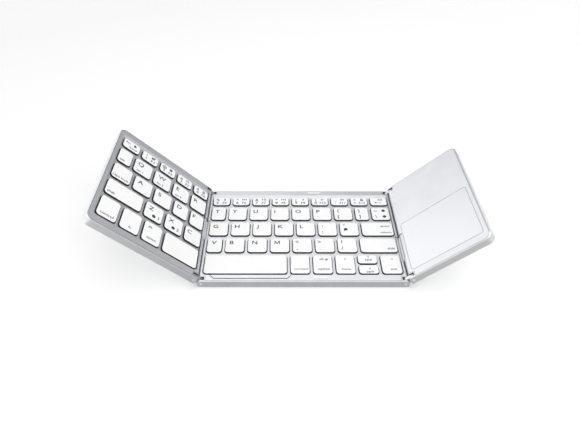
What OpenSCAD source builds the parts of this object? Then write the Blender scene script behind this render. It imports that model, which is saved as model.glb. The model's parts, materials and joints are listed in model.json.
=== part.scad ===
// Three-panel folding keyboard. The centre panel lies flat, and a wing is hinged to each side:
// keys on the left wing, a touchpad on the right one. Each hinge is a pair of arms with two pins,
// so that a wing can lie level with the centre panel, or fold over and lie flat on top of it.
// Origin: centre of the underside of the centre panel. +X right, +Y to the rear, +Z up.

/* [Panels] */
// Width of the centre panel, from hinge edge to hinge edge
centre_w = 150.4; // [146:0.2:170]
// Width of the left wing, from its hinge edge to its outer edge
left_w = 87; // [84:0.5:92]
// Gap between the two wings' outer edges when both lie folded on the centre
wing_gap = 0.5; // [0.4:0.1:3]
// Depth of the three panels, front to rear
panel_d = 98; // [97:0.5:110]
// Thickness of a panel without its feet
panel_t = 7; // [6.8:0.1:9]
// Radius of the outer corners of the wings, seen from above
corner_r = 5; // [3:0.5:8]
// Angle at which both wings are raised from level
wing_raise = 44.5; // [0:0.5:80]

/* [Covers] */
// Thickness of the floor of a bottom cover
floor_t = 1; // [0.8:0.1:1.4]
// Thickness of a bottom cover's side walls below the frame
wall_t = 1.4; // [1.2:0.1:1.5]
// Thickness of the rim that stands round the frame
rim_t = 0.7; // [0.5:0.1:1]
// Thickness of the key frames and of the touchpad wing's top cover
frame_t = 2; // [1.8:0.1:2.2]
// Gap between the rim and the frame inside it
rim_gap = 0.2; // [0.1:0.05:0.3]
// Bevel along the bottom edges of a panel
low_bevel = 0.8; // [0.3:0.1:1]
// Bevel along the top edges of a panel
top_bevel = 0.5; // [0.2:0.05:0.5]
// Depth of the recess that the keys stand in
deck_drop = 1.4; // [0.8:0.1:1.5]
// Width of the recess floor in front of the keys, and towards the left wing's outer edge
deck_margin = 1.4; // [0.8:0.1:2]
// Width of the recess floor between the keys and a hinge edge
deck_side = 0.7; // [0.6:0.1:1]
// Distance of the recess from the rear edge
deck_rear = 5.6; // [5.2:0.1:6]
// Run of the slope that ends the recess at the rear
deck_slope = 1.4; // [0.6:0.1:1.8]
// Thickness of the ribs under the key plates
rib_t = 0.8; // [0.6:0.1:1.2]

/* [Hinges] */
// Depth of the hinge pins below the top of a panel
pin_depth = 3.1; // [2.9:0.05:3.2]
// Distance of the hinge pins from the edge of the panel
pin_inset = 2.4; // [2.2:0.1:2.6]
// Gap between the top faces of two panels when one is folded over the other
fold_gap = 0.4; // [0.4:0.05:1]
// Radius of the hinge pins
pin_r = 0.9; // [0.6:0.05:1]
// Radial running clearance of the pins in the panels
pin_play = 0.05; // [0.02:0.01:0.09]
// Radial interference of the pins in the arms
pin_press = 0.01; // [0.005:0.005:0.03]
// Radius of the round ends of the hinge arms
arm_r = 2.3; // [2:0.1:2.4]
// Thickness of a hinge arm
arm_t = 2.4; // [1.6:0.1:3]
// Gap on each side of a hinge arm in its pocket
arm_gap = 0.15; // [0.1:0.05:0.3]
// Distance of the pins' ends inside the faces that they end at
pin_short = 0.1; // [0.05:0.05:0.3]
// Thickness of the ear that covers the arm at the front and rear
ear_t = 1.4; // [1:0.1:1.8]
// Radius that a panel's top edge is rounded to, about the pin
edge_r = 3.2; // [3.1:0.05:3.25]
// Thickness of the bar that covers the cable between two panels
bar_t = 1.2; // [1:0.1:1.4]
// Height of the cable bar
bar_h = 3.9; // [3:0.1:4]
// Height of the cable bar's top above the pins
bar_top = 0.5; // [0.2:0.1:0.5]
// Radius about the pin of the scoop in a panel's edge that the cable bar turns in
scoop_r = 2.6; // [2.5:0.05:2.65]
// Length of the left cable bar, and the place of its middle along the hinge
left_bar = [20, 2.5]; // [-40:0.1:40]
// Length of the right cable bar, and the place of its middle along the hinge
right_bar = [23.4, -17.4]; // [-40:0.1:40]

/* [Keys] */
// Shares of the five rows of keys in the depth that the rows fill, from the front to the rear
row_shares = [17.7, 14.4, 14.4, 14.4, 9.5]; // [9:0.1:19]
// Gap between two rows
row_gap = 3; // [2.6:0.1:3.4]
// Gap between two keys of a row
key_gap = 2.6; // [2.2:0.1:3]
// Distance from the front edge of a panel to the front row
front_bezel = 7.5; // [7:0.1:8.5]
// Distance from the rear row to the rear edge of a panel
rear_bezel = 8.1; // [8:0.1:9]
// Distance from the centre panel's hinge edges to the keys
centre_margin = 3.5; // [3.3:0.1:4]
// Distance from the left wing's hinge edge to the keys
left_margin = 3.6; // [3.5:0.1:5]
// Distance from the left wing's outer edge to the keys
outer_margin = 5; // [4.4:0.1:6]
// How far the key tops lie below the top of the panels
key_sink = 0.1; // [0.05:0.05:0.4]
// Height of a keycap
cap_h = 2; // [1.8:0.1:2.1]
// Thickness of a keycap's top
cap_top_t = 0.9; // [0.7:0.1:1]
// Thickness of a keycap's sides
cap_wall = 1; // [0.8:0.1:1.2]
// Radius of a keycap's corners
cap_r = 2.3; // [1.6:0.1:2.4]
// Bevel along a keycap's top edges
cap_bevel = 0.3; // [0.1:0.05:0.4]
// Gap between a keycap and its hole in the frame
cap_play = 0.5; // [0.3:0.05:0.6]
// Travel of a key
key_travel = 1.3; // [1:0.1:1.4]
// Gap between the two page keys, which share one place in the front row
page_gap = 1.6; // [1.4:0.1:2]

/* [Key switches] */
// Thickness of the plate that carries the keys
plate_t = 0.4; // [0.3:0.05:0.5]
// Thickness of the rubber dome sheet
sheet_t = 0.3; // [0.2:0.05:0.4]
// Radius of a dome at its foot
dome_r = 2.6; // [2:0.1:3]
// Radius of a dome at its top
dome_top_r = 1.4; // [1:0.1:1.8]
// Gap between a pressed keycap and the dome sheet
press_gap = 0.2; // [0.1:0.05:0.3]
// Gap between a dome and the keycap above it
dome_gap = 0.05; // [0.02:0.01:0.1]
// Gap round a plate or board inside its cover
board_gap = 0.2; // [0.1:0.05:0.4]

/* [Touchpad wing] */
// Depth of the touchpad, front to rear
pad_d = 45.4; // [40:0.1:48]
// Distance of the touchpad from the front edge of the wing
pad_front = 6.6; // [5:0.1:8]
// Distance of the touchpad from the hinge edge of the wing
pad_hinge = 4.3; // [4:0.1:6]
// Distance of the touchpad from the outer edge of the wing
pad_outer = 3.9; // [2.4:0.1:5]
// Thickness of the touchpad
pad_t = 0.8; // [0.6:0.05:1]
// Radius of the touchpad's corners
pad_r = 1.6; // [1:0.1:3]
// Width of the groove round the touchpad
pad_groove = 0.25; // [0.15:0.05:0.4]
// Width of the ledge under the touchpad's edge
pad_ledge = 1.5; // [1:0.1:2.5]
// Thickness of the circuit boards
board_t = 0.8; // [0.6:0.1:1]
// Thickness of the adhesive under the boards and the battery
tape_t = 0.1; // [0.05:0.05:0.2]
// Width of the controller board
board_w = 25; // [20:0.5:28]
// Gap between the battery and the controller board and wall beside it
battery_gap = 1; // [0.5:0.1:2]
// Distance of the battery behind the touchpad
battery_back = 3; // [2:0.5:4]
// Distance of the battery from the rear edge of the wing
battery_rear = 13; // [8:0.5:16]
// Thickness of the battery
battery_t = 3.2; // [2.4:0.1:3.6]
// Outer width, depth and height of the charging port
port_size = [7.5, 5.6, 2.5]; // [2:0.1:9]
// Distance of the charging port's middle from the hinge edge
port_place = 14; // [12:0.5:18]
// Distance of the charging port's mouth inside the rear face
port_inset = 0.3; // [0.1:0.1:1]
// Gap round the charging port in the cover
port_gap = 0.15; // [0.1:0.05:0.3]
// Thickness of the charging port's shell
port_shell = 0.3; // [0.2:0.05:0.4]
// Radius of the indicator lenses
lens_r = 0.5; // [0.4:0.05:0.8]
// Places of the indicator lenses along Y
lens_places = [35, 27.7, 20]; // [16:0.1:36]
// Distance of the indicator lenses from the hinge edge
lens_hinge = 4.2; // [4:0.1:5]

/* [Pads and feet] */
// Length of the closing pads along X
stop_l = 10.5; // [8:0.5:12]
// Width of the closing pads along Y
stop_w = 1.8; // [1.4:0.1:2.4]
// Distance of the rear closing pad's middle from the rear edge
stop_rear = 2.9; // [2.6:0.1:3.6]
// Distance of the front closing pad's middle from the front edge
stop_front = 3.3; // [2.6:0.1:3.8]
// Height of the closing pads above the frame
stop_h = 0.3; // [0.1:0.05:0.35]
// Depth that the closing pads and feet are let in
pad_seat = 0.4; // [0.3:0.05:0.5]
// Gap round the closing pads and feet in their seats
seat_gap = 0.05; // [0.02:0.01:0.1]
// Radius of the feet
foot_r = 4; // [3:0.5:6]
// Height of the feet below a panel
foot_h = 0.6; // [0.4:0.1:1.2]
// Distance of the feet from the front, rear and outer edges
foot_edge = 10; // [8:0.5:14]
// Distance of the thumb rest's middle from the left hinge edge
thumb_x = 37.6; // [34:0.2:42]
// Length of the thumb rest in the front bezel, at the keys
thumb_l = 59; // [40:1:62]
// Width of the thumb rest, front to rear
thumb_w = 3.3; // [2:0.1:4]
// Width of the groove that outlines the thumb rest
thumb_groove = 0.7; // [0.4:0.1:1]
// Depth of the groove
thumb_drop = 0.8; // [0.3:0.1:1]

/* [Hidden] */
$fn = 48;

silver = [0.80, 0.81, 0.83];
frame_silver = [0.86, 0.87, 0.89];
key_white = [0.97, 0.97, 0.98];
steel = [0.62, 0.63, 0.65];
rubber_grey = [0.45, 0.46, 0.48];
board_green = [0.12, 0.36, 0.22];
eps = 0.01;                 // overlap of shapes that are joined
over = 1;                   // overshoot of shapes that are cut away

right_w = centre_w - left_w - wing_gap;
half_d = panel_d / 2;
seat_z = panel_t - frame_t;             // underside of the frames
deck_z = panel_t - deck_drop;           // floor of the recess round the keys
key_top_z = panel_t - key_sink;
cap_z = key_top_z - cap_h;              // lower edge of a resting keycap
sheet_top_z = cap_z - key_travel - press_gap;
plate_z = sheet_top_z - sheet_t - plate_t;

// hinge: the pins lie at equal depth and inset in both panels
pin_z = panel_t - pin_depth;
pin_reach = 2 * pin_depth + fold_gap;   // distance between the two pins of an arm
pocket_end = pin_inset + arm_r + arm_gap;   // length of the arm pocket from the edge
pocket_floor = pin_z - arm_r - arm_gap;
pocket_out = half_d - ear_t;            // outer and inner faces of the arm pocket
pocket_in = pocket_out - arm_t - 2 * arm_gap;
boss_in = pocket_in - wall_t;           // inner face of the wall that holds the pin's end
scoop_in = centre_margin;               // reach of the scoop from the edge

// shares of the keys in the width of their row, by rows from the front to the rear.
// Centre panel, from left to right
centre_rows = [
  [60.2, 13.9, 13.9, 13.9, 14.1, 14.4],
  [11.2, 14.4, 14.4, 14.4, 14.4, 14.4, 14.4, 27.6],
  [14.4, 14.4, 14.4, 14.4, 14.4, 14.4, 14.4, 24.4],
  [11.2, 14.4, 14.4, 14.4, 14.4, 14.4, 14.4, 10.6, 14.4],
  [1, 1, 1, 1, 1, 1, 1, 1, 1]
];
page_place = 4;             // place of the two page keys in the front row
// Left wing, from its hinge edge outwards
left_rows = [
  [28.75, 13.95, 13.95, 13.95],
  [14.15, 14.45, 14.45, 27.55],
  [12.2, 12.6, 14.4, 14.4, 14.4],
  [14.2, 14.45, 14.45, 14.45, 10.45],
  [1, 1, 1, 1, 1]
];
number_row = 4;
centre_field = centre_w - 2 * centre_margin;
left_field = left_w - left_margin - outer_margin;

function total(v, count) = count <= 0 ? 0 : v[count - 1] + total(v, count - 1);
// lengths that fill a span by their shares, with equal gaps between them
function fill(shares, span, gap) =
  [for (s = shares) s * (span - gap * (len(shares) - 1)) / total(shares, len(shares))];
row_depths = fill(row_shares, panel_d - front_bezel - rear_bezel, row_gap);
function row_y(r) = -half_d + front_bezel + total(row_depths, r) + r * row_gap;
// a key's box, as [x, y, width, depth] from its front left corner
function key_box(rows, r, i, field, x0) =
  let (w = fill(rows[r], field, key_gap))
  [x0 + total(w, i) + i * key_gap, row_y(r), w[i], row_depths[r]];
function centre_key(r, i) = key_box(centre_rows, r, i, centre_field, centre_margin);
function left_key(r, i) = key_box(left_rows, r, i, left_field, left_margin);
// the page keys: half 0 is the front one, half 1 the rear one
function page_key(half) =
  let (b = centre_key(0, page_place), d = (b[3] - page_gap) / 2)
  [b[0], b[1] + half * (d + page_gap), b[2], d];
all_left_keys = [for (r = [0 : 4]) for (i = [0 : len(left_rows[r]) - 1]) left_key(r, i)];
all_centre_keys = concat(
  [for (r = [0 : 4]) for (i = [0 : len(centre_rows[r]) - 1])
    if (r != 0 || i != page_place) centre_key(r, i)],
  [page_key(0), page_key(1)]);

deck_front = row_y(0) - deck_margin;    // front edge of the deck
pad_w = right_w - pad_hinge - pad_outer;
board_x = wall_t + board_gap;
battery_x = board_x + board_w + battery_gap;
battery_y = pad_front + pad_d - half_d + battery_back;
board_z = floor_t + tape_t;             // underside of the controller board
board_top = board_z + board_t;
port_x = port_place - port_size[0] / 2;
port_y = half_d - port_inset - port_size[1];
port_back = 1;                          // thickness of the port's rear wall
led = [1, 1, 0.4];                      // an indicator on the board, below its lens
// chips on the controller board, each as its size and its distance from the board's front edge
chips = [[[6, 6, 0.9], 6], [[5, 4, 0.9], 16]];
stop_x = centre_w / 2 + left_w - centre_w + wing_gap / 2;   // where the folded wings meet

// ---------- shared shapes ----------

// flat rectangle with round corners, from its front left corner
module round_rect(w, d, r) {
  translate([r, 0]) square([w - 2 * r, d]);
  translate([0, r]) square([w, d - 2 * r]);
  for (x = [r, w - r])
    for (y = [r, d - r])
      translate([x, y]) circle(r);
}

// side view of a slab: bevels low and high at its ends, centred on x
module slab_profile(d, h, low, high) {
  polygon([[low - d / 2, 0], [d / 2 - low, 0], [d / 2, low], [d / 2, h - high],
           [d / 2 - high, h], [high - d / 2, h], [-d / 2, h - high], [-d / 2, low]]);
}

// slab with round corners and bevelled edges, from its front left corner
module bevelled_slab(w, d, h, r, low, high) {
  translate([w / 2, d - r, 0]) rotate([90, 0, 0])
    linear_extrude(d - 2 * r) slab_profile(w, h, low, high);
  translate([r, d / 2, 0]) rotate([90, 0, 90])
    linear_extrude(w - 2 * r) slab_profile(d, h, low, high);
  for (x = [r, w - r])
    for (y = [r, d - r])
      translate([x, y, 0]) rotate_extrude()
        polygon([[0, 0], [r - low, 0], [r, low], [r, h - high], [r - high, h], [0, h]]);
}

// ---------- places of the three panels ----------
// Every panel is drawn flat, with x = 0 at a hinge edge and its middle at y = 0.

module place_centre() {
  translate([-centre_w / 2, 0, 0]) children();
}

// frame of a hinge arm: x = 0 and z = 0 on the inner pin, the outer pin at x = pin_reach
module place_arm(side) {
  mirror([side < 0 ? 1 : 0, 0, 0])
    translate([centre_w / 2 - pin_inset, 0, pin_z])
      rotate([0, -wing_raise, 0])
        children();
}

module place_wing(side) {
  place_arm(side)
    translate([pin_reach - pin_inset, 0, -pin_z])
      children();
}

// repeats its children at one hinge end, or at both ends of the centre panel
module at_hinge_ends(w, both) {
  children();
  if (both) translate([w, 0, 0]) mirror([1, 0, 0]) children();
}

module front_and_rear() {
  children();
  mirror([0, 1, 0]) children();
}

// ---------- panel shapes ----------

// plan of a panel, drawn in from its edges
module panel_plan(w, both, inset) {
  r = corner_r - inset;
  if (both)
    translate([inset, inset - half_d]) square([w - 2 * inset, panel_d - 2 * inset]);
  else {
    translate([inset, inset - half_d]) square([w - 2 * inset - r, panel_d - 2 * inset]);
    translate([w - inset - 2 * r, inset - half_d + r])
      square([2 * r, panel_d - 2 * inset - 2 * r]);
    for (y = [-1, 1])
      translate([w - inset - r, y * (half_d - inset - r)]) circle(r);
  }
}

// plan of a panel's inside, with the hinge corners left out
module inner_plan(w, both, inset) {
  difference() {
    panel_plan(w, both, inset);
    at_hinge_ends(w, both)
      front_and_rear()
        translate([-over, pocket_in - inset])
          square([over + pocket_end + inset, half_d]);
  }
}

// solid panel with bevelled outer edges and plain hinge ends
module panel_block(w, both) {
  r = corner_r;
  straight = both ? w : w - r;
  rotate([90, 0, 90])
    linear_extrude(straight) slab_profile(panel_d, panel_t, low_bevel, top_bevel);
  if (!both) {
    intersection() {
      translate([0, half_d - r, 0]) rotate([90, 0, 0])
        linear_extrude(panel_d - 2 * r) slab_profile(2 * w, panel_t, low_bevel, top_bevel);
      translate([w - 2 * r, -half_d, 0]) cube([2 * r, panel_d, panel_t]);
    }
    for (y = [-1, 1])
      translate([w - r, y * (half_d - r), 0]) rotate_extrude()
        polygon([[0, 0], [r - low_bevel, 0], [r, low_bevel], [r, panel_t - top_bevel],
                 [r - top_bevel, panel_t], [0, panel_t]]);
  }
}

// what a panel's hinge end loses: the rounding of its top edge, seen from the side,
// and the scoop that the cable bar turns in
module edge_cuts(bar) {
  rounding(edge_r, pin_inset, panel_d + 2 * over, 0);
  rounding(scoop_r, scoop_in, bar[0] + 2 * arm_gap, bar[1]);
}

module rounding(r, reach, length, place) {
  translate([0, place + length / 2, 0]) rotate([90, 0, 0])
    linear_extrude(length)
      difference() {
        translate([-over, pin_z]) square([over + reach, pin_depth + over]);
        translate([pin_inset, pin_z]) circle(r);
      }
}

// pockets for the hinge arms and bores for their pins
module arm_pockets() {
  front_and_rear() {
    translate([-over, pocket_in, pocket_floor])
      cube([over + pocket_end, pocket_out - pocket_in, panel_t]);
    translate([pin_inset, half_d + over, pin_z]) rotate([90, 0, 0])
      cylinder(r = pin_r + pin_play, h = half_d - boss_in + 2 * over);
  }
}

module foot_places(w, both) {
  for (x = both ? [foot_edge + foot_r, w - foot_edge - foot_r] : [w - foot_edge])
    for (y = [foot_edge - half_d, half_d - foot_edge])
      translate([x, y, 0]) children();
}

// bottom cover: floor, walls, rim, hinge ears and foot seats
module bottom_cover(w, both, bars) {
  difference() {
    panel_block(w, both);
    translate([0, 0, floor_t]) linear_extrude(panel_t) inner_plan(w, both, wall_t);
    translate([0, 0, seat_z]) linear_extrude(panel_t) inner_plan(w, both, rim_t);
    at_hinge_ends(w, both) arm_pockets();
    edge_cuts(bars[0]);
    if (both) translate([w, 0, 0]) mirror([1, 0, 0]) edge_cuts(bars[1]);
    foot_places(w, both)
      translate([0, 0, -over]) cylinder(r = foot_r + seat_gap, h = pad_seat + over);
  }
}

// ribs that carry a key plate, one under each gap between two rows
module plate_ribs(w) {
  for (r = [1 : 4])
    translate([wall_t - eps, row_y(r) - row_gap / 2 - rib_t / 2, floor_t - eps])
      cube([w - 2 * wall_t + 2 * eps, rib_t, plate_z - floor_t + eps]);
}

module key_holes(boxes) {
  for (b = boxes)
    translate([b[0] - cap_play, b[1] - cap_play, seat_z - over])
      linear_extrude(frame_t + 2 * over)
        round_rect(b[2] + 2 * cap_play, b[3] + 2 * cap_play, cap_r + cap_play);
}

// frame plate inside the rim
module frame_plate(w, both, bars) {
  inset = rim_t + rim_gap;
  difference() {
    translate([0, 0, seat_z]) linear_extrude(frame_t) inner_plan(w, both, inset);
    edge_cuts(bars[0]);
    if (both) translate([w, 0, 0]) mirror([1, 0, 0]) edge_cuts(bars[1]);
  }
}

// frame plate with the sunk deck and the key holes
module key_frame(w, both, bars, boxes, x0, field) {
  difference() {
    frame_plate(w, both, bars);
    deck_recess(x0 - deck_side, field + deck_side + (both ? deck_side : deck_margin));
    key_holes(boxes);
  }
}

// hollow of the deck: upright sides with round corners at the front, and a slope at the rear
module deck_recess(x0, w) {
  r = cap_r + deck_side;
  rear = half_d - deck_rear;
  d = rear - deck_front;
  intersection() {
    translate([x0, deck_front, deck_z - over]) linear_extrude(deck_drop + 2 * over) {
      round_rect(w, d, r);
      translate([0, r]) square([w, d - r + over]);
    }
    translate([x0 - over, 0, 0]) rotate([90, 0, 90]) linear_extrude(w + 2 * over)
      polygon([[deck_front - over, deck_z], [rear - deck_slope, deck_z], [rear, panel_t],
               [rear, panel_t + over / 2], [deck_front - over, panel_t + over / 2]]);
  }
}

module key_plate(w) {
  gap = wall_t + board_gap;
  translate([gap, board_gap - boss_in, plate_z])
    cube([w - 2 * gap, 2 * (boss_in - board_gap), plate_t]);
}

module dome_sheet(w, boxes) {
  gap = wall_t + board_gap;
  dome_top = cap_z + cap_h - cap_top_t - dome_gap;
  translate([gap, board_gap - boss_in, sheet_top_z - sheet_t])
    cube([w - 2 * gap, 2 * (boss_in - board_gap), sheet_t]);
  for (b = boxes)
    translate([b[0] + b[2] / 2, b[1] + b[3] / 2, sheet_top_z - eps])
      cylinder(r1 = dome_r, r2 = dome_top_r, h = dome_top - sheet_top_z + eps);
}

module feet(w, both) {
  foot_places(w, both)
    translate([0, 0, -foot_h]) cylinder(r = foot_r, h = foot_h + pad_seat);
}

// keycap, hollow below
module keycap(b) {
  translate([b[0], b[1], cap_z])
    difference() {
      bevelled_slab(b[2], b[3], cap_h, cap_r, 0, cap_bevel);
      translate([cap_wall, cap_wall, -over])
        linear_extrude(over + cap_h - cap_top_t)
          round_rect(b[2] - 2 * cap_wall, b[3] - 2 * cap_wall, cap_r - cap_wall / 2);
    }
}

module centre_keycap(b) {
  color(key_white) place_centre() keycap(b);
}

module left_keycap(b) {
  color(key_white) place_wing(-1) keycap(b);
}

module centre_key_row(r, last) {
  for (i = [0 : last]) centre_keycap(centre_key(r, i));
}

// ---------- hinges ----------

module hinge_arms(side) {
  color(silver) place_arm(side)
    front_and_rear()
      translate([0, pocket_out - arm_gap, 0]) rotate([90, 0, 0])
        linear_extrude(arm_t)
          difference() {
            union() {
              for (x = [0, pin_reach]) translate([x, 0]) circle(arm_r);
              translate([0, -arm_r]) square([pin_reach, 2 * arm_r]);
            }
            for (x = [0, pin_reach]) translate([x, 0]) circle(pin_r - pin_press);
          }
}

module hinge_pins(side) {
  color(steel) place_arm(side)
    front_and_rear()
      for (x = [0, pin_reach])
        translate([x, half_d - pin_short, 0]) rotate([90, 0, 0])
          cylinder(r = pin_r, h = half_d - boss_in - 2 * pin_short);
}

module cable_cover(side, bar) {
  color(silver) place_arm(side)
    translate([pin_reach / 2 - bar_t / 2, bar[1] - bar[0] / 2, bar_top - bar_h])
      cube([bar_t, bar[0], bar_h]);
}

// ---------- centre panel ----------

centre_bars = [left_bar, right_bar];

module centre_bottom_cover() {
  color(silver) place_centre() {
    bottom_cover(centre_w, true, centre_bars);
    plate_ribs(centre_w);
  }
}

module stop_places() {
  for (y = [half_d - stop_rear, stop_front - half_d])
    translate([stop_x - stop_l / 2, y - stop_w / 2, 0]) children();
}

// plan of the thumb rest: it narrows at 45 degrees from the deck to the front
module thumb_plan(grow) {
  reach = thumb_l / 2 + grow * sqrt(2);
  drop = thumb_w + grow;
  polygon([[-reach, 0], [reach, 0], [reach - drop, -drop], [drop - reach, -drop]]);
}

// groove that outlines the thumb rest and runs out in the deck
module thumb_outline() {
  translate([thumb_x, deck_front + eps, panel_t - thumb_drop])
    linear_extrude(thumb_drop + over)
      difference() {
        thumb_plan(thumb_groove / 2);
        thumb_plan(-thumb_groove / 2);
      }
}

module centre_key_frame() {
  color(frame_silver) difference() {
    place_centre()
      key_frame(centre_w, true, centre_bars, all_centre_keys, centre_margin, centre_field);
    stop_places()
      translate([-seat_gap, -seat_gap, panel_t - pad_seat])
        cube([stop_l + 2 * seat_gap, stop_w + 2 * seat_gap, pad_seat + over]);
    place_centre() thumb_outline();
  }
}

module closing_pads() {
  color("white") stop_places()
    translate([0, 0, panel_t - pad_seat]) cube([stop_l, stop_w, pad_seat + stop_h]);
}

module centre_key_plate() {
  color(steel) place_centre() key_plate(centre_w);
}

module centre_dome_sheet() {
  color(rubber_grey) place_centre() dome_sheet(centre_w, all_centre_keys);
}

module centre_feet() {
  color(rubber_grey) place_centre() feet(centre_w, true);
}

// ---------- left wing ----------

module left_bottom_cover() {
  color(silver) place_wing(-1) {
    bottom_cover(left_w, false, [left_bar]);
    plate_ribs(left_w);
  }
}

module left_key_frame() {
  color(frame_silver) place_wing(-1)
    key_frame(left_w, false, [left_bar], all_left_keys, left_margin, left_field);
}

module left_key_plate() {
  color(steel) place_wing(-1) key_plate(left_w);
}

module left_dome_sheet() {
  color(rubber_grey) place_wing(-1) dome_sheet(left_w, all_left_keys);
}

module left_feet() {
  color(rubber_grey) place_wing(-1) feet(left_w, false);
}

// ---------- right wing ----------

module right_bottom_cover() {
  color(silver) place_wing(1)
    difference() {
      bottom_cover(right_w, false, [right_bar]);
      translate([port_x - port_gap, half_d - wall_t - over, board_top - port_gap])
        cube([port_size[0] + 2 * port_gap, wall_t + 2 * over, port_size[2] + 2 * port_gap]);
    }
}

module pad_plan(grow) {
  translate([pad_hinge - grow, pad_front - half_d - grow])
    round_rect(pad_w + 2 * grow, pad_d + 2 * grow, pad_r + grow);
}

// rods from just above the indicators to a height h
module lens_rods(r, h) {
  z = board_top + led[2] + tape_t;
  for (y = lens_places)
    translate([lens_hinge, y, z]) cylinder(r = r, h = h - z);
}

module right_top_cover() {
  color(frame_silver) place_wing(1)
    difference() {
      frame_plate(right_w, false, [right_bar]);
      translate([0, 0, panel_t - pad_t]) linear_extrude(pad_t + over) pad_plan(pad_groove);
      translate([0, 0, seat_z - over]) linear_extrude(frame_t + 2 * over)
        translate([pad_hinge + pad_ledge, pad_front - half_d + pad_ledge])
          square([pad_w - 2 * pad_ledge, pad_d - 2 * pad_ledge]);
      lens_rods(lens_r + seat_gap, panel_t + over);
    }
}

module touchpad() {
  color(frame_silver) place_wing(1)
    translate([0, 0, panel_t - pad_t]) linear_extrude(pad_t) pad_plan(0);
}

module touchpad_board() {
  inset = pad_ledge + board_gap;
  color(board_green) place_wing(1)
    translate([pad_hinge + inset, pad_front - half_d + inset,
               panel_t - pad_t - tape_t - board_t])
      cube([pad_w - 2 * inset, pad_d - 2 * inset, board_t]);
}

module controller_board() {
  corner_x = pocket_end + wall_t + board_gap;
  color(board_green) place_wing(1) {
    translate([board_x, battery_y, board_z])
      cube([board_w, boss_in - board_gap - battery_y, board_t]);
    translate([corner_x, battery_y, board_z])
      cube([board_x + board_w - corner_x, half_d - wall_t - board_gap - battery_y, board_t]);
    translate([board_x + board_w / 2, battery_y, board_top - eps])
      for (chip = chips)
        translate([0, chip[1], 0]) cube(chip[0]);
    for (y = lens_places)
      translate([lens_hinge - led[0] / 2, y - led[1] / 2, board_top - eps]) cube(led);
  }
}

module battery() {
  color([0.75, 0.76, 0.78]) place_wing(1)
    translate([battery_x, battery_y, board_z])
      cube([right_w - wall_t - battery_gap - battery_x, half_d - battery_rear - battery_y,
            battery_t]);
}

module charging_port() {
  color(steel) place_wing(1)
    translate([port_x, port_y, board_top])
      difference() {
        cube(port_size);
        translate([port_shell, port_back, port_shell])
          cube([port_size[0] - 2 * port_shell, port_size[1], port_size[2] - 2 * port_shell]);
      }
}

module indicator_lenses() {
  color([0.75, 0.85, 0.9]) place_wing(1) lens_rods(lens_r, panel_t);
}

module right_feet() {
  color(rubber_grey) place_wing(1) feet(right_w, false);
}

// ---------- nodes ----------

centre_bottom_cover();
centre_key_frame();
centre_key_plate();
centre_dome_sheet();
closing_pads();
centre_feet();
centre_key_row(number_row, 8);  // centre_number_keys
centre_key_row(3, 8);  // upper_letter_keys
centre_key_row(2, 6);  // middle_letter_keys
centre_key_row(1, 6);  // lower_letter_keys
centre_keycap(centre_key(2, 7));  // key_enter
centre_keycap(centre_key(1, 7));  // key_right_shift
centre_keycap(centre_key(0, 0));  // key_right_space
centre_keycap(centre_key(0, 1));  // key_command
centre_keycap(centre_key(0, 2));  // key_right_option
centre_keycap(centre_key(0, 3));  // key_home
centre_keycap(page_key(1));  // key_page_up
centre_keycap(page_key(0));  // key_page_down
centre_keycap(centre_key(0, 5));  // key_end
left_bottom_cover();
left_key_frame();
left_key_plate();
left_dome_sheet();
left_feet();
for (i = [0 : 4]) left_keycap(left_key(number_row, i));  // left_number_keys
left_keycap(left_key(3, 4));  // key_tab
left_keycap(left_key(3, 3));  // key_q
left_keycap(left_key(3, 2));  // key_w
left_keycap(left_key(3, 1));  // key_e
left_keycap(left_key(3, 0));  // key_r
left_keycap(left_key(2, 4));  // key_caps_lock
left_keycap(left_key(2, 3));  // key_a
left_keycap(left_key(2, 2));  // key_s
left_keycap(left_key(2, 1));  // key_d
left_keycap(left_key(2, 0));  // key_f
left_keycap(left_key(1, 3));  // key_left_shift
left_keycap(left_key(1, 2));  // key_z
left_keycap(left_key(1, 1));  // key_x
left_keycap(left_key(1, 0));  // key_c
left_keycap(left_key(0, 3));  // key_control
left_keycap(left_key(0, 2));  // key_function
left_keycap(left_key(0, 1));  // key_left_option
left_keycap(left_key(0, 0));  // key_left_space
right_bottom_cover();
right_top_cover();
touchpad();
touchpad_board();
controller_board();
battery();
charging_port();
indicator_lenses();
right_feet();
hinge_arms(-1);  // left_hinge_arms
hinge_pins(-1);  // left_hinge_pins
cable_cover(-1, left_bar);  // left_cable_cover
hinge_arms(1);  // right_hinge_arms
hinge_pins(1);  // right_hinge_pins
cable_cover(1, right_bar);  // right_cable_cover
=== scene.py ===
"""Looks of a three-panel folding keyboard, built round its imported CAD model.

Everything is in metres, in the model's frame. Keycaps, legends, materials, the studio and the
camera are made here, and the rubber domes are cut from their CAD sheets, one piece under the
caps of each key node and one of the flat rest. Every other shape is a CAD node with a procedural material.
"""

import json
import math

import bmesh
import bpy
from mathutils import Matrix, Vector


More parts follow.
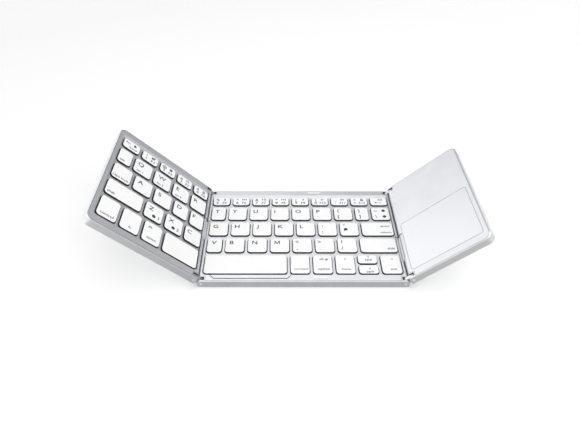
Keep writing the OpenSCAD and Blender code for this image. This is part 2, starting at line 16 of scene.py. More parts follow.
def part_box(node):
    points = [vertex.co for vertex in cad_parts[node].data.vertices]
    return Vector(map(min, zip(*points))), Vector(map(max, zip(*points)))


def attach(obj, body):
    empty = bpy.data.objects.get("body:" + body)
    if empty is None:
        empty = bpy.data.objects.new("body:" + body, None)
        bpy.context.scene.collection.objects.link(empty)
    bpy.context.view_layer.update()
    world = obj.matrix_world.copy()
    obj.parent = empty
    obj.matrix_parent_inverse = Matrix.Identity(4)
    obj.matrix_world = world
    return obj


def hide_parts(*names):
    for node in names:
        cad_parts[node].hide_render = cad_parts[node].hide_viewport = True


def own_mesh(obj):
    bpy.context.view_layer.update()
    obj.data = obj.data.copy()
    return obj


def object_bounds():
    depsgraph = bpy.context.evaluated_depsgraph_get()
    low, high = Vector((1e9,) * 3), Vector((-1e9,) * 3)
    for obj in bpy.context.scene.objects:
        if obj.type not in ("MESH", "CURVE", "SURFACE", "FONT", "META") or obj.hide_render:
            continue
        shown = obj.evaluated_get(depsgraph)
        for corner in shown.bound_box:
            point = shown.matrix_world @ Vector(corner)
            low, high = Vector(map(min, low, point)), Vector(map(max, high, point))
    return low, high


MM = 0.001

# ---------- camera ----------
FRAME_W, FRAME_H = 580, 435  # pixels
SENSOR = 36.0  # width of the film in millimetres
FOCAL_PX = 476.9
CENTRE_PX = (280.7, 232.1)  # where the optical axis meets the picture
CLIP = (0.01, 20)
PITCH, YAW = math.radians(45.27), math.radians(-0.056)
EYE = (-15.8 * MM, -260.6 * MM, 270.05 * MM)

# ---------- colours, linear ----------
COVER_SILVER = (0.88, 0.89, 0.915)
PALE_SILVER = (0.90, 0.915, 0.955)
HINGE_GAP_SHADE = (0.10, 0.10, 0.11)  # painted shade on the walls of the covers in the hinge gaps
WALL_SHADE = (0.09, 0.09, 0.10)  # painted shade on the walls of key holes, seams and grooves
WALL_SHADE_RIGHT = (0.15, 0.15, 0.16)  # the same painted shade on the touchpad wing
PAD_SIDE_SHADE = (0.30, 0.31, 0.33)  # painted shade on the sides of the closing pads
# painted shade in the pockets of the hinge arms
POCKET_SHADE = (0.015, 0.015, 0.018)
# painted shade: the dome sheet is dark so that the key holes above it look shaded
DOME_SHADE_GREY = (0.035, 0.036, 0.04)
PAD_WHITE = (0.96, 0.96, 0.96)
PAD_SILVER = (0.885, 0.90, 0.935)  # the touchpad
CAP_WHITE = (0.965, 0.965, 0.968)
# painted shade: the keycaps' sides are dark to stand in for the shadow in the gaps round the keys
CAP_SKIRT_SHADE = (0.04, 0.04, 0.045)
INK = (0.035, 0.035, 0.042)
TEAL = (0.012, 0.12, 0.20)

# ---------- keycaps ----------
CORNER = 2.3 * MM
LEAST_CORNER = 0.3 * MM  # radius of the corners of the innermost ring
EDGE = 0.3 * MM  # rounding of the top edge
DRAFT = 0.10 * MM  # how far the sides lean in
SIDE_RING = (DRAFT * 0.6, EDGE * 1.5)  # inset and depth of a ring near the top of the sides
LID_RING = 0.6 * MM  # distance of the top's inner ring from its rounding
CORNER_STEPS, EDGE_STEPS = 7, 4
SHADED_SKIRT_STEPS = 1  # steps of the rounding that the skirt's painted shade takes up
CAP_APART = 0.3 * MM  # less than the gap between two caps
CAP_SLACK = 0.03 * MM
INK_LIFT = 0.02 * MM
BOLD = 0.015  # growth of the letters' outlines, in the font's own unit

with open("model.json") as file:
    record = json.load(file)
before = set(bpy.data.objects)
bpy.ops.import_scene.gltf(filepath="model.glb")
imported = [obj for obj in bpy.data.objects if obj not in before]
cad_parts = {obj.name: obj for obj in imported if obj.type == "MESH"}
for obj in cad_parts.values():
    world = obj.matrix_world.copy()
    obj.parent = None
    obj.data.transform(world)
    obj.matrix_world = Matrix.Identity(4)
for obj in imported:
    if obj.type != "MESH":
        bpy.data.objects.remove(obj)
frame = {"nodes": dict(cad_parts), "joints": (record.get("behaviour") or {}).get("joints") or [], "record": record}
cad_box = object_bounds()
nodes = frame["nodes"]


# ---------- panels ----------
# A panel's matrix has x to the reader's right, y to the rear and z out of the key side,
# with its origin on the underside, at the panel's left edge and half its depth.

PINS = {j["name"]: Vector(j["pos_m"]) for j in frame["joints"] if j["type"] == "hinge"}


def panels():
    low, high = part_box("centre_bottom_cover")
    found = {"centre": Matrix.Translation((low.x, 0, 0))}
    for side, sign in (("left", -1), ("right", 1)):
        inner, outer = PINS[f"{side}_inner_hinge"], PINS[f"{side}_outer_hinge"]
        out = (outer - inner).normalized()
        right = out * sign
        up = right.cross(Vector((0, 1, 0)))
        inset = high.x - abs(inner.x)
        origin = outer - out * inset - up * inner.z
        if side == "left":
            width = max((origin - v.co).dot(right) for v in nodes["left_key_frame"].data.vertices)
            origin = origin - right * width
        turn = Matrix((right, (0, 1, 0), up)).transposed().to_4x4()
        found[side] = Matrix.Translation(origin) @ turn
    return found


PANEL = panels()


def cap_boxes(node, panel):
    """(low, high) of each keycap of a node in a panel's axes, from left to right."""
    inverse = PANEL[panel].inverted()
    mesh = nodes[node].data
    points = [inverse @ v.co for v in mesh.vertices]
    spans = sorted(
        (min(points[i].x for i in p.vertices), max(points[i].x for i in p.vertices))
        for p in mesh.polygons
    )
    groups = []
    for low, high in spans:
        if groups and low < groups[-1][1] + CAP_APART:
            groups[-1][1] = max(groups[-1][1], high)
        else:
            groups.append([low, high])
    boxes = []
    for low, high in groups:
        own = [p for p in points if low - CAP_SLACK <= p.x <= high + CAP_SLACK]
        boxes.append((Vector(map(min, *own)), Vector(map(max, *own))))
    return boxes


# ---------- materials ----------

NOISE_RANGE = (0.3, 0.7)  # where most of a noise's values lie
SHARP = 0.03 * MM  # width of a painted edge
# ranges of the cosine between a face and a direction
TOWARDS, STEEP, NOT_BELOW = (0.5, 0.8), (0.5, 0.2), (-0.6, -0.4)

# the hinges of each panel, by the side that they are on
HINGES = {
    "centre": {-1: "left_inner_hinge", 1: "right_inner_hinge"},
    "left": {1: "left_outer_hinge"},
    "right": {-1: "right_outer_hinge"},
}
# the pockets of the hinge arms, which take painted shade: their middle in front of or behind the panel's, and half
# sizes
POCKET_Y = 46.25 * MM
POCKET_HALF_X, POCKET_HALF_Y = 2.5 * MM, 1.4 * MM
# how far from its pins the painted shade of a hinge gap reaches on the walls that look towards it
ALL_WALLS, OWN_WALLS = 1.0, 5 * MM


def shader_of(name):
    made = bpy.data.materials.new(name)
    made.use_nodes = True
    return made, made.node_tree, made.node_tree.nodes["Principled BSDF"]


def noise(tree, scale, detail, stretch=(1, 1, 1)):
    """Noise in the model's own coordinates; scale is in features per metre."""
    place = tree.nodes.new("ShaderNodeTexCoord")
    mapping = tree.nodes.new("ShaderNodeMapping")
    mapping.inputs["Scale"].default_value = stretch
    made = tree.nodes.new("ShaderNodeTexNoise")
    made.inputs["Scale"].default_value = scale
    made.inputs["Detail"].default_value = detail
    tree.links.new(place.outputs["Object"], mapping.inputs["Vector"])
    tree.links.new(mapping.outputs["Vector"], made.inputs["Vector"])
    return made.outputs["Fac"]


def rescaled(tree, source, source_range, result_range):
    made = tree.nodes.new("ShaderNodeMapRange")
    made.inputs["From Min"].default_value, made.inputs["From Max"].default_value = source_range
    made.inputs["To Min"].default_value, made.inputs["To Max"].default_value = result_range
    tree.links.new(source, made.inputs["Value"])
    return made.outputs["Result"]


def surface(name, colour, rough, metal=0.0, grain=9000, bump=0.04, mottle=0.03,
            blotch=60, coat=0.0, stretch=(1, 1, 1)):
    """Plastic, paint or metal with fine grain, soft blotches in its colour and uneven gloss."""
    made, tree, shader = shader_of(name)
    shader.inputs["Metallic"].default_value = metal
    shader.inputs["Coat Weight"].default_value = coat
    shader.inputs["Coat Roughness"].default_value = 0.15
    tint = tree.nodes.new("ShaderNodeMix")
    tint.data_type = "RGBA"
    tint.inputs["A"].default_value = (*[c * (1 - mottle) for c in colour], 1)
    tint.inputs["B"].default_value = (*[min(1, c * (1 + mottle)) for c in colour], 1)
    blotches = rescaled(tree, noise(tree, blotch, 3), NOISE_RANGE, (0, 1))
    tree.links.new(blotches, tint.inputs["Factor"])
    tree.links.new(tint.outputs["Result"], shader.inputs["Base Color"])
    fine = noise(tree, grain, 2, stretch)
    gloss = rescaled(tree, fine, NOISE_RANGE, (rough * 0.88, rough * 1.12))
    tree.links.new(gloss, shader.inputs["Roughness"])
    bumps = tree.nodes.new("ShaderNodeBump")
    bumps.inputs["Strength"].default_value = bump
    bumps.inputs["Distance"].default_value = 0.02 * MM
    tree.links.new(fine, bumps.inputs["Height"])
    tree.links.new(bumps.outputs["Normal"], shader.inputs["Normal"])
    return made


def joined(tree, operation, *terms):
    """A sum, product or the like of outputs and plain numbers."""
    made = tree.nodes.new("ShaderNodeMath")
    made.operation = operation
    for term, socket in zip(terms, made.inputs):
        if isinstance(term, (int, float)):
            socket.default_value = term
        else:
            tree.links.new(term, socket)
    return made.outputs[0]


def along(tree, direction, what="Object"):
    """How far a point of the model lies along a direction."""
    dot = tree.nodes.new("ShaderNodeVectorMath")
    dot.operation = "DOT_PRODUCT"
    tree.links.new(tree.nodes.new("ShaderNodeTexCoord").outputs[what], dot.inputs[0])
    dot.inputs[1].default_value = direction
    return dot.outputs["Value"]


def facing(tree, direction):
    """The cosine between a face and a direction of the model."""
    return along(tree, direction, "Normal")


def away(tree, source, value):
    """How far an output is from a given number."""
    return joined(tree, "ABSOLUTE", joined(tree, "SUBTRACT", source, value))


def within(tree, source, limit):
    """1 below a limit, 0 above it."""
    return rescaled(tree, source, (limit + SHARP, limit), (0, 1))


def from_pin(tree, panel, pin):
    """How far a point lies from a hinge's pins, across the panel."""
    right = PANEL[panel].col[0].xyz
    return away(tree, along(tree, right), PINS[pin].dot(right))


def painted(tree, colour, mask):
    """Puts another colour on a surface where mask is 1."""
    base = tree.nodes["Principled BSDF"].inputs["Base Color"]
    mix = tree.nodes.new("ShaderNodeMix")
    mix.data_type = "RGBA"
    tree.links.new(mask, mix.inputs["Factor"])
    tree.links.new(base.links[0].from_socket, mix.inputs["A"])
    mix.inputs["B"].default_value = (*colour, 1)
    tree.links.new(mix.outputs["Result"], base)


def paint_pocket_shade(tree, panel):
    """Painted shade: dark walls and floors in the pockets of the hinge arms, where shade falls."""
    up = PANEL[panel].col[2].xyz
    for pin in HINGES[panel].values():
        across = within(tree, from_pin(tree, panel, pin), POCKET_HALF_X)
        depth = away(tree, away(tree, along(tree, (0, 1, 0)), 0), POCKET_Y)
        inside = joined(tree, "MULTIPLY", across, within(tree, depth, POCKET_HALF_Y))
        not_below = rescaled(tree, facing(tree, up), NOT_BELOW, (0, 1))
        painted(tree, POCKET_SHADE, joined(tree, "MULTIPLY", inside, not_below))


def cover_surface(panel, reach):
    """Silver, with walls towards a hinge painted dark as the shade of its gap, where they are within reach of its
    pins.
    """
    made = surface(f"{panel}_cover", COVER_SILVER, 0.36, metal=0.75, grain=7000, bump=0.10)
    tree = made.node_tree
    right = PANEL[panel].col[0].xyz
    for way, pin in HINGES[panel].items():
        ends = rescaled(tree, facing(tree, right * way), TOWARDS, (0, 1))
        near = within(tree, from_pin(tree, panel, pin), reach)
        painted(tree, HINGE_GAP_SHADE, joined(tree, "MULTIPLY", ends, near))
    paint_pocket_shade(tree, panel)
    return made


def topped_surface(panel, name, wall_shade, *args, **kwargs):
    """A painted top and slopes over walls that are painted darker as shade, as in the key holes and seams."""
    made = surface(f"{panel}_{name}", *args, **kwargs)
    tree = made.node_tree
    level = joined(tree, "ABSOLUTE", facing(tree, PANEL[panel].col[2].xyz))
    # faces near upright take the painted shade
    painted(tree, wall_shade, rescaled(tree, level, STEEP, (0, 1)))
    return made


def frame_surface(panel, wall_shade):
    # painted shade on the walls of the key holes and seams, and in the arm pockets
    made = topped_surface(
        panel, "frame", wall_shade, PALE_SILVER, 0.40, metal=0.75, grain=8000, bump=0.08)
    paint_pocket_shade(made.node_tree, panel)
    return made


MATERIAL = {
    # the covers carry painted shade on their walls in the hinge gaps and in the arm pockets
    "centre_cover": cover_surface("centre", ALL_WALLS),
    "left_cover": cover_surface("left", ALL_WALLS),
    "right_cover": cover_surface("right", OWN_WALLS),
    # the frames carry painted shade on the walls of key holes and seams
    "centre_frame": frame_surface("centre", WALL_SHADE),
    "left_frame": frame_surface("left", WALL_SHADE),
    "right_frame": frame_surface("right", WALL_SHADE_RIGHT),
    "plate": surface("plate_steel", (0.5, 0.5, 0.52), 0.35, metal=1.0, stretch=(0.05, 1, 1)),
    # dark domes and sheet as painted shade under the key holes
    "dome_rubber": surface("dome_rubber", DOME_SHADE_GREY, 0.6, grain=3000, bump=0.1),
    # the white pads have painted shade on their sides
    "pad_rubber": topped_surface("centre", "pad", PAD_SIDE_SHADE, PAD_WHITE, 0.55,
                                 grain=5000, bump=0.1),
    "foot_rubber": surface("foot_rubber", (0.20, 0.20, 0.21), 0.65, grain=4000, bump=0.2),
    # painted shade on the touchpad's edge walls
    "touchpad": topped_surface("right", "touchpad", WALL_SHADE, PAD_SILVER, 0.28, metal=0.6,
                               coat=0.25, grain=12000, bump=0.02, mottle=0.01),
    "board": surface("board_green", (0.02, 0.12, 0.05), 0.35, coat=0.4, grain=2500, bump=0.15),
    "battery": surface("battery_foil", (0.6, 0.61, 0.63), 0.3, metal=0.9, grain=1200, bump=0.2),
    "steel": surface("pin_steel", (0.93, 0.94, 0.95), 0.45, metal=0.1, stretch=(1, 0.05, 1)),
    "lens": surface("lens_clear", (0.86, 0.90, 0.93), 0.15, coat=0.5, grain=3000, bump=0.02),
    "arm": surface("arm_metal", (0.88, 0.89, 0.91), 0.28, metal=0.85, grain=6000, bump=0.06),
    "bar": surface("bar_silver", PALE_SILVER, 0.42, metal=0.3, grain=8000, bump=0.08),
    "keycap": surface("keycap_white", CAP_WHITE, 0.48, grain=6000, bump=0.05, mottle=0.01),
    # painted shade on the keycaps' sides, as dark as the shadow in the gaps round the keys
    "skirt": surface("keycap_skirt", CAP_SKIRT_SHADE, 0.55, grain=6000, bump=0.05),
    "ink": surface("ink_grey", INK, 0.55, mottle=0.05),
    "teal": surface("ink_teal", TEAL, 0.55, mottle=0.05),
}


def dress_nodes():
    """Gives every CAD node the material of its slot in the record."""
    for part in frame["record"]["subparts"]:
        slot = part["material_slot"]
        panel = part["node"].split("_")[0]
        mesh = nodes[part["node"]].data
        mesh.materials.clear()
        mesh.materials.append(MATERIAL[f"{panel}_{slot}" if slot in ("cover", "frame") else slot])


# ---------- mesh building ----------

def new_piece(name, form, body, materials):
    """A piece from a bmesh, which rides on a body and wears the materials of the given keys."""
    mesh = bpy.data.meshes.new(name)
    form.to_mesh(mesh)
    form.free()
    for m in materials:
        mesh.materials.append(MATERIAL[m])
    made = bpy.data.objects.new(name, mesh)
    bpy.context.scene.collection.objects.link(made)
    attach(made, body)
    return made


def round_loop(low, high, inset, z):
    """Points of a rectangle with round corners, drawn in by inset."""
    r = max(CORNER - inset, LEAST_CORNER)
    points = []
    for k, (cx, cy) in enumerate((
        (high.x - inset - r, high.y - inset - r), (low.x + inset + r, high.y - inset - r),
        (low.x + inset + r, low.y + inset + r), (high.x - inset - r, low.y + inset + r),
    )):
        for step in range(CORNER_STEPS + 1):
            a = math.pi / 2 * (k + step / CORNER_STEPS)
            points.append((cx + r * math.cos(a), cy + r * math.sin(a), z))
    return points


def add_keycap(form, low, high, place):
    """A keycap with a rounded top edge and a white top; its sides and the foot of the rounding are painted dark
    grey as shade.
    """
    top = high.z
    rings = [(0, low.z), (SIDE_RING[0], top - SIDE_RING[1]), (DRAFT, top - EDGE)]
    shaded_bands = len(rings) - 1 + SHADED_SKIRT_STEPS
    for step in range(1, EDGE_STEPS + 1):
        a = math.pi / 2 * step / EDGE_STEPS
        rings.append((DRAFT + EDGE * (1 - math.cos(a)), top - EDGE * (1 - math.sin(a))))
    rings.append((DRAFT + EDGE + LID_RING, top))
    loops = [
        [form.verts.new(place @ Vector(p)) for p in round_loop(low, high, inset, z)]
        for inset, z in rings
    ]
    count = len(loops[0])
    for level in range(len(loops) - 1):
        for i in range(count):
            j = (i + 1) % count
            face = form.faces.new((loops[level][i], loops[level][j],
                                   loops[level + 1][j], loops[level + 1][i]))
            face.smooth = True
            # the bands of the sides and the foot of the rounding take the painted shade
            face.material_index = 0 if level >= shaded_bands else 1
    lid = form.faces.new(loops[-1])
    lid.smooth = True
    form.faces.new(loops[0][::-1]).material_index = 1


# ---------- legends ----------
# Each legend is (what, side, x, y, height, ink) in millimetres. x is measured from the key's left
# edge to the legend's left end (l) or middle (c), or from the right edge to its right end (r).
# y is measured from the key's rear edge to the top of a capital of that height.

def flat_words(words):
    """Words as a flat mesh one unit high, from their lower left corner."""
    curve = bpy.data.curves.new("words", "FONT")
    curve.body = words
    curve.resolution_u = 3
    curve.offset = BOLD
    maker = bpy.data.objects.new("words", curve)
    bpy.context.scene.collection.objects.link(maker)
    bpy.context.view_layer.update()
    ready = maker.evaluated_get(bpy.context.evaluated_depsgraph_get())
    mesh = bpy.data.meshes.new_from_object(ready)
    bpy.data.objects.remove(maker)
    bpy.data.curves.remove(curve)
    return mesh


def capital_height():
    mesh = flat_words("H")
    tall = max(v.co.y for v in mesh.vertices)
    bpy.data.meshes.remove(mesh)
    return tall


CAPITAL = capital_height()


def words_shape(words):
    """(points, faces) of words, as high as one unit for a capital."""
    mesh = flat_words(words)
    points = [(v.co.x / CAPITAL, v.co.y / CAPITAL) for v in mesh.vertices]
    faces = [tuple(p.vertices) for p in mesh.polygons]
    bpy.data.meshes.remove(mesh)
    return points, faces


def merged(*polygons):
    points, faces = [], []
    for polygon in polygons:
        faces.append(tuple(range(len(points), len(points) + len(polygon))))
        points += polygon
    return points, faces


def box_shape(x0, y0, x1, y1):
    return [(x0, y0), (x1, y0), (x1, y1), (x0, y1)]


def arrow_shape(turns):
    """A thin arrow in a unit square that points right, turned by quarter turns."""
    shaft = box_shape(0.05, 0.44, 0.7, 0.56)
    head = [(0.55, 0.2), (1, 0.5), (0.55, 0.8)]
    points, faces = merged(shaft, head)
    for _ in range(turns):
        points = [(1 - y, x) for x, y in points]
    return points, faces


def play_shape(x, way=1):
    """A triangle half a unit wide that points right, or left."""
    a, b = (x, x + 0.5) if way > 0 else (x + 0.5, x)
    return [(a, 0.15), (b, 0.5), (a, 0.85)][::way]


def speaker_shape():
    return [(0, 0.35), (0.25, 0.35), (0.55, 0.1), (0.55, 0.9), (0.25, 0.65), (0, 0.65)]


def disc_shape(cx, cy, r, count=14):
    return [
        (cx + r * math.cos(2 * math.pi * i / count), cy + r * math.sin(2 * math.pi * i / count))
        for i in range(count)
    ]


def ring_shape(cx, cy, r, thick, count=14):
    points = disc_shape(cx, cy, r, count) + disc_shape(cx, cy, r - thick, count)
    faces = [(i, (i + 1) % count, count + (i + 1) % count, count + i) for i in range(count)]
    return points, faces


# The font's M closes up when its outline grows, so it is drawn from strokes.
CAPITAL_M = merged(box_shape(0, 0, 0.17, 1), box_shape(0.93, 0, 1.10, 1),
                   [(0.17, 1), (0, 1), (0.46, 0.15), (0.64, 0.15), (0.55, 0.36)],
                   [(0.93, 1), (0.55, 0.36), (0.46, 0.15), (0.64, 0.15), (1.10, 1)])

ICONS = {
    "M": CAPITAL_M,
    "<right>": arrow_shape(0),
    "<up>": arrow_shape(1),
    "<left>": arrow_shape(2),
    "<down>": arrow_shape(3),
    "<long left>": merged(box_shape(0.6, 0.4, 3.0, 0.6), [(0, 0.5), (0.8, 0.1), (0.8, 0.9)]),
    "<star>": merged(disc_shape(0.5, 0.35, 0.28), box_shape(0.4, 0.55, 0.6, 1.0)),
    "<previous>": merged(box_shape(0, 0.1, 0.18, 0.9), play_shape(0.22, -1), play_shape(0.8, -1)),
    "<play>": merged(play_shape(0), box_shape(0.68, 0.1, 0.88, 0.9),
                     box_shape(1.02, 0.1, 1.22, 0.9)),
    "<next>": merged(play_shape(0), play_shape(0.58), box_shape(1.15, 0.1, 1.33, 0.9)),
    "<mute>": merged(speaker_shape()),
    "<quieter>": merged(speaker_shape(), box_shape(0.68, 0.42, 1.1, 0.6)),
    "<louder>": merged(speaker_shape(), box_shape(0.68, 0.42, 1.24, 0.6),
                       box_shape(0.87, 0.22, 1.05, 0.8)),
    "<lock>": merged(box_shape(0.1, 0.0, 0.9, 0.55), box_shape(0.22, 0.55, 0.38, 0.9),
                     box_shape(0.62, 0.55, 0.78, 0.9), box_shape(0.22, 0.82, 0.78, 1.0)),
    "<home>": merged(box_shape(0.2, 0.0, 0.8, 0.5), [(-0.05, 0.48), (1.05, 0.48), (0.5, 1.0)]),
    "<dot>": merged(disc_shape(0.5, 0.5, 0.5)),
    "<ring>": ring_shape(0.5, 0.5, 0.5, 0.2),
    "<pages>": merged(box_shape(0, 0.0, 0.6, 0.8), box_shape(0.7, 0.2, 1.05, 1.0)),
}

WIDER = {"ink": 1.15, "teal": 1.0}  # stretch of the lettering
LETTER, SIGN, DIGIT, WORD, SMALL, ICON = 3.6, 3.1, 2.5, 2.0, 1.55, 2.8  # heights, millimetres


def letter(c, x=2.7):
    return [(c, "l", x, 2.9, LETTER, "ink")]


def pair(upper, lower):
    return [(upper, "c", 3.3, 2.3, SIGN, "ink"), (lower, "c", 3.3, 8.9, SIGN, "ink")]


def number(upper, lower, icon, label, ink="teal"):
    return [
        (upper, "c", 3.5, 1.9, DIGIT, "ink"), (lower, "c", 3.5, 5.5, DIGIT, "ink"),
        (icon, "c", 9.3, 1.5, ICON, ink), (label, "c", 9.3, 5.6, DIGIT, ink),
    ]


def word(text, side, x, y, ink="ink", height=WORD):
    return (text, side, x, y, height, ink)


LEGENDS = {
    "centre": {
        "centre_number_keys": [
            number("%", "5", "<star>", "F5"), number("^", "6", "<previous>", "F6"),
            number("&", "7", "<play>", "F7"), number("*", "8", "<next>", "F8"),
            number("(", "9", "<mute>", "F9"), number(")", "0", "<quieter>", "F10"),
            number("_", "-", "<louder>", "F11"), number("+", "=", "<lock>", "F12"),
            [word("del", "c", 8.2, 1.8), ("<long left>", "c", 6.2, 5.6, 2.0, "ink")],
        ],
        "upper_letter_keys": [letter(c) for c in "TYUIOP"] + [
            pair("{", "["), pair("}", "]"),
            pair("~", "\\") + [("<dot>", "c", 9.9, 2.3, 2.9, "ink"),
                               ("<dot>", "c", 9.9, 9.1, 2.9, "ink")],
        ],
        "middle_letter_keys": [letter(c) for c in "GHJKL"] + [
            pair(":", ";"), pair("\"", "'") + [("<dot>", "c", 4.4, 6.2, 3.0, "ink")]],
        "lower_letter_keys": [letter(c, 3.2) for c in "VBNM"] + [
            pair("<", ","), pair(">", "."), pair("?", "/")],
        "key_enter": [[word("enter", "r", 2.2, 3.2), word("return", "r", 1.9, 10.0)]],
        "key_right_shift": [[word("shift", "r", 1.9, 9.7)]],
        "key_right_space": [[]],
        "key_command": [[word("command", "c", 7.7, 12.6, height=SMALL)]],
        "key_right_option": [[word("alt gr", "c", 8.4, 2.9), word("option", "c", 7.6, 12.4)]],
        "key_home": [[("<left>", "c", 7.4, 2.8, 2.2, "ink"), word("home", "c", 7.4, 12.5, "teal")]],
        "key_page_up": [[("<up>", "c", 7.9, 0.6, 2.2, "ink"), word("pgup", "c", 7.9, 3.2, "teal")]],
        "key_page_down": [[("<down>", "c", 7.9, 2.2, 2.2, "ink"),
                           word("pgdn", "c", 7.9, 5.0, "teal")]],
        "key_end": [[("<right>", "c", 8.2, 2.8, 2.2, "ink"), word("end", "c", 8.2, 12.5, "teal")]],
    },
    "left": {
        "left_number_keys": [
            [word("esc", "l", 1.4, 1.9), ("<home>", "c", 9.2, 1.5, ICON, "teal"),
             word("home", "c", 8.4, 5.9, "teal")],
            number("!", "1", "<pages>", "F1", "ink"), number("@", "2", "<dot>", "F2"),
            number("#", "3", "<ring>", "F3"), number("$", "4", "<lock>", "F4"),
        ],
        "key_tab": [[word("tab", "l", 1.5, 10.6)]],
        "key_q": [letter("Q", 2.5) + [word("sys 1", "l", 2.7, 10.7, "teal")]],
        "key_w": [letter("W", 3.1) + [word("sys 2", "l", 3.0, 10.7, "teal")]],
        "key_e": [letter("E") + [word("sys 3", "l", 2.7, 10.7, "teal")]],
        "key_r": [letter("R", 2.4)],
        "key_caps_lock": [[word("caps lock", "c", 7.0, 10.8)]],
        "key_a": [letter("A", 2.5)],
        "key_s": [letter("S")],
        "key_d": [letter("D")],
        "key_f": [letter("F", 2.0)],
        "key_left_shift": [[word("shift", "l", 1.7, 10.6)]],
        "key_z": [letter("Z") + [("<dot>", "c", 7.7, 9.3, 2.9, "ink"),
                                 ("1", "c", 11.6, 9.0, 2.8, "ink")]],
        "key_x": [letter("X", 2.4) + [("<dot>", "c", 7.1, 9.3, 2.9, "ink"),
                                      ("2", "c", 10.9, 9.0, 2.8, "ink")]],
        "key_c": [letter("C", 2.0)],
        "key_control": [[word("control", "c", 7.0, 13.5)]],
        "key_function": [[word("fn", "c", 7.2, 13.1, "teal")]],
        "key_left_option": [[word("alt", "c", 4.5, 3.1), word("option", "c", 7.1, 12.6, "teal")]],
        "key_left_space": [[]],
    },
}


def add_legend(form, low, high, legend, place):
    """Lays a legend on the keycap between low and high."""
    what, side, x, y, height, ink = legend
    if what in ICONS:
        points, faces = ICONS[what]
    else:
        points, faces = words_shape(what)
        points = [(px * WIDER[ink], py) for px, py in points]
    size = height * MM
    left = min(p[0] for p in points) * size
    wide = max(p[0] for p in points) * size - left
    x0 = {"l": low.x + x * MM, "c": low.x + x * MM - wide / 2, "r": high.x - x * MM - wide}[side]
    y0 = high.y - y * MM - size
    spots = [
        form.verts.new(place @ Vector((x0 - left + px * size, y0 + py * size, high.z + INK_LIFT)))
        for px, py in points
    ]
    for f in faces:
        face = form.faces.new([spots[i] for i in f])
        face.material_index = 1 if ink == "teal" else 0


def make_keys():
    for panel, keys in LEGENDS.items():
        place = PANEL[panel]
        for node, legends in keys.items():
            boxes = cap_boxes(node, panel)
            if len(boxes) != len(legends):
                raise ValueError(f"{node} has {len(boxes)} keycaps and {len(legends)} legends")
            caps, print_ = bmesh.new(), bmesh.new()
            for (low, high), marks in zip(boxes, legends):
                add_keycap(caps, low, high, place)
                for mark in marks:
                    add_legend(print_, low, high, mark, place)
            made = new_piece(f"{node}.caps", caps, node, ("keycap", "skirt"))
            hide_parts(node)
            if any(legends):
                new_piece(f"{node}.legends", print_, node, ("ink", "teal"))


# ---------- rubber domes ----------

DOME_FOOT = 3.4 * MM  # top of the sheet that the domes stand on, above a panel's underside
SHEET_BODY = {"centre": "centre", "left": "left_wing"}


def over_keys(point, boxes):
    """Whether a point stands above the sheet, under one of some keycaps."""
    return point.z > DOME_FOOT + SHARP and any(
        low.x < point.x < high.x and low.y < point.y < high.y for low, high in boxes
    )


def sheet_piece(panel, name, boxes, domes):
    """The domes of a panel's sheet under some keycaps, or the sheet without them."""
    node = f"{panel}_dome_sheet"
    inverse = PANEL[panel].inverted()
    form = bmesh.new()
    form.from_mesh(nodes[node].data)
    others = [f for f in form.faces
              if over_keys(inverse @ f.calc_center_median(), boxes) != domes]
    bmesh.ops.delete(form, geom=others, context="FACES")
    made = new_piece(name, form, SHEET_BODY[panel], ("dome_rubber",))
    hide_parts(node)
    return made


def make_domes():
    for panel, keys in LEGENDS.items():
        under = {key: cap_boxes(key, panel) for key in keys}
        for key, boxes in under.items():
            made = sheet_piece(panel, f"{key}.domes", boxes, True)
            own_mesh(made)
        sheet_piece(panel, f"{panel}_dome_sheet.flat", sum(under.values(), []), False)


# ---------- studio ----------

def background_rays(tree):
    """1 for camera, glossy and transmission rays, which see the white background."""
    path = tree.nodes.new("ShaderNodeLightPath").outputs
    glossy = joined(tree, "MAXIMUM", path["Is Camera Ray"], path["Is Glossy Ray"])
    return joined(tree, "MAXIMUM", glossy, path["Is Transmission Ray"])


def add_plane(name, corners):
    mesh = bpy.data.meshes.new(name)
    mesh.from_pydata(corners, [], [tuple(range(len(corners)))])
    made = bpy.data.objects.new(name, mesh)
    bpy.context.scene.collection.objects.link(made)
    return made


FLOOR_HALF = 4.0
FLOOR_WHITE = (0.86, 0.86, 0.86, 1)
# the glow that lifts the floor to white for rays that see the background, at two distances
FLOOR_FAR, FLOOR_GLOW = (0.5, 2.0), (0.20, 0.50)
WORLD_LIGHT = 0.59  # for the rays that light the object


def make_floor():
    z, h = cad_box[0].z, FLOOR_HALF
    floor = add_plane("floor", [(-h, -h, z), (h, -h, z), (h, h, z), (-h, h, z)])
    made, tree, shader = shader_of("floor_white")
    shader.inputs["Base Color"].default_value = FLOOR_WHITE
    shader.inputs["Roughness"].default_value = 0.9
    shader.inputs["Specular IOR Level"].default_value = 0.0
    shader.inputs["Emission Color"].default_value = (1, 1, 1, 1)
    place = tree.nodes.new("ShaderNodeTexCoord")
    far = tree.nodes.new("ShaderNodeVectorMath")
    far.operation = "LENGTH"
    tree.links.new(place.outputs["Object"], far.inputs[0])
    glow = rescaled(tree, far.outputs["Value"], FLOOR_FAR, FLOOR_GLOW)
    seen = joined(tree, "MULTIPLY", background_rays(tree), glow)
    tree.links.new(seen, shader.inputs["Emission Strength"])
    floor.data.materials.append(made)


def make_world():
    world = bpy.data.worlds.new("studio")
    world.use_nodes = True
    tree = world.node_tree
    back = tree.nodes["Background"]
    back.inputs["Color"].default_value = (1, 1, 1, 1)
    level = rescaled(tree, background_rays(tree), (0, 1), (WORLD_LIGHT, 1))
    tree.links.new(level, back.inputs["Strength"])
    bpy.context.scene.world = world


def aim(obj, target):
    obj.rotation_mode = "QUATERNION"
    obj.rotation_quaternion = (Vector(target) - obj.location).to_track_quat("-Z", "Y")


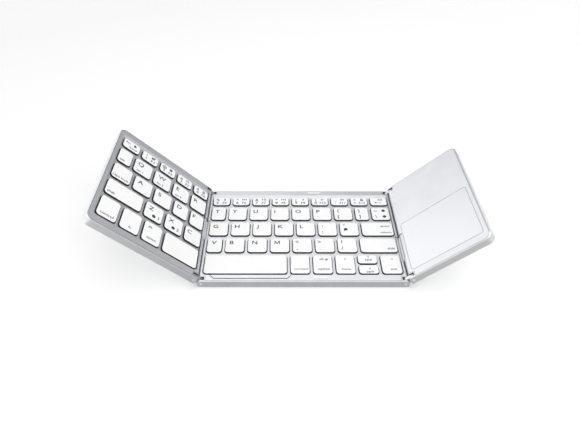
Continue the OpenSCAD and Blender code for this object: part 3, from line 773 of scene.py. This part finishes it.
def add_lamp(name, spot, target, size, watts, mirrored=True):
    """A square lamp; one that isn't mirrored lights the object and leaves no gloss on it."""
    data = bpy.data.lights.new(name, "AREA")
    data.shape = "SQUARE"
    data.size = size
    data.energy = watts
    made = bpy.data.objects.new(name, data)
    made.location = spot
    made.visible_glossy = mirrored
    bpy.context.scene.collection.objects.link(made)
    aim(made, target)


def make_lamps():
    add_lamp("overhead", (0.25, 0.10, 1.10), (0, 0, 0), 1.0, 3.3)
    add_lamp("front_right", (0.75, -0.75, 0.70), (-0.03, 0, 0.02), 1.1, 5.0, mirrored=False)
    add_lamp("front_left", (-0.75, -0.75, 0.60), (0.03, 0, 0.02), 1.0, 3.5, mirrored=False)


# Grey cards that only reflections see. The rear card's height and grey change along x.
CARD_Y, CARD_X, CARD_FRONT = 0.9, 1.2, -1.6  # places of the rear, right and front cards
CARD_TOPS = ((-1.40, 0.80), (-0.54, 0.80), (-0.14, 0.88), (0.14, 1.10), (0.40, 1.45),
             (CARD_X, 1.70))
CARD_GREYS = ((-1.40, 1.25), (-0.84, 1.25), (-0.54, 0.68), (-0.40, 0.46), (-0.14, 0.54),
              (0.03, 0.40), (0.14, 0.10), (0.26, 0.11), (CARD_X, 0.16))
FRONT_CARD = ((-1.6, CARD_X), (0.0, 1.7), 0.62)  # x, height and grey, behind the camera
FLOOR_CARD_Y = (-0.20, -0.0495)  # in front of the object
FLOOR_GREYS = ((-0.30, 0.50), (-0.08, 0.27), (0.075, 0.27), (0.09, 0.36), (0.30, 0.36))
FLOOR_CARD_LIFT = 0.1 * MM


def add_card(name, corners, material):
    """A card that only glossy and transmission rays see."""
    card = add_plane(name, corners)
    card.data.materials.append(material)
    card.visible_camera = False
    card.visible_diffuse = False
    card.visible_shadow = False


def card_material(name, greys):
    """A plain glow: one grey, or greys along x as ((x, grey), ...)."""
    made, tree, shader = shader_of(name)
    shader.inputs["Base Color"].default_value = (0, 0, 0, 1)
    shader.inputs["Specular IOR Level"].default_value = 0.0
    shader.inputs["Emission Strength"].default_value = 1.0
    if len(greys) == 1:
        shader.inputs["Emission Color"].default_value = (*[greys[0]] * 3, 1)
        return made
    place = tree.nodes.new("ShaderNodeTexCoord")
    axes = tree.nodes.new("ShaderNodeSeparateXYZ")
    tree.links.new(place.outputs["Object"], axes.inputs["Vector"])
    left, right = greys[0][0], greys[-1][0]
    ramp = tree.nodes.new("ShaderNodeValToRGB")
    tree.links.new(rescaled(tree, axes.outputs["X"], (left, right), (0, 1)), ramp.inputs["Fac"])
    stops = ramp.color_ramp.elements
    while len(stops) < len(greys):
        stops.new(1)
    for stop, (x, grey) in zip(stops, greys):
        stop.position = (x - left) / (right - left)
        stop.color = (grey, grey, grey, 1)
    tree.links.new(ramp.outputs["Color"], shader.inputs["Emission Color"])
    return made


def make_cards():
    z = cad_box[0].z
    graded = card_material("card_greys", CARD_GREYS)
    left, right = CARD_TOPS[0][0], CARD_TOPS[-1][0]
    tops = [(x, CARD_Y, top) for x, top in reversed(CARD_TOPS)]
    add_card("rear_card", [(left, CARD_Y, z), (right, CARD_Y, z), *tops], graded)
    add_card("side_card", [(CARD_X, CARD_Y, z), (CARD_X, CARD_FRONT, z),
                           (CARD_X, CARD_FRONT, CARD_TOPS[-1][1]), (CARD_X, *tops[0][1:])], graded)
    (x0, x1), (z0, z1), grey = FRONT_CARD
    add_card("front_card", [(x0, CARD_FRONT, z + z0), (x1, CARD_FRONT, z + z0),
                            (x1, CARD_FRONT, z1), (x0, CARD_FRONT, z1)],
             card_material("front_card_grey", (grey,)))
    x0, x1 = FLOOR_GREYS[0][0], FLOOR_GREYS[-1][0]
    y0, y1 = FLOOR_CARD_Y
    z += FLOOR_CARD_LIFT
    add_card("floor_card", [(x0, y0, z), (x1, y0, z), (x1, y1, z), (x0, y1, z)],
             card_material("floor_card_greys", FLOOR_GREYS))


def make_camera():
    data = bpy.data.cameras.new("camera")
    data.sensor_width = SENSOR
    data.lens = SENSOR * FOCAL_PX / FRAME_W
    data.shift_x = (FRAME_W / 2 - CENTRE_PX[0]) / FRAME_W
    data.shift_y = (CENTRE_PX[1] - FRAME_H / 2) / FRAME_W
    data.clip_start, data.clip_end = CLIP
    camera = bpy.data.objects.new("camera", data)
    bpy.context.scene.collection.objects.link(camera)
    forward = Vector((
        math.sin(YAW) * math.cos(PITCH), math.cos(YAW) * math.cos(PITCH), -math.sin(PITCH)))
    right = Vector((math.cos(YAW), -math.sin(YAW), 0))
    up = right.cross(forward)
    camera.matrix_world = (
        Matrix.Translation(EYE) @ Matrix((right, up, -forward)).transposed().to_4x4())
    bpy.context.scene.camera = camera


dress_nodes()
make_keys()
make_domes()
make_floor()
make_cards()
make_world()
make_lamps()
make_camera()
bpy.context.scene.view_settings.view_transform = "Standard"
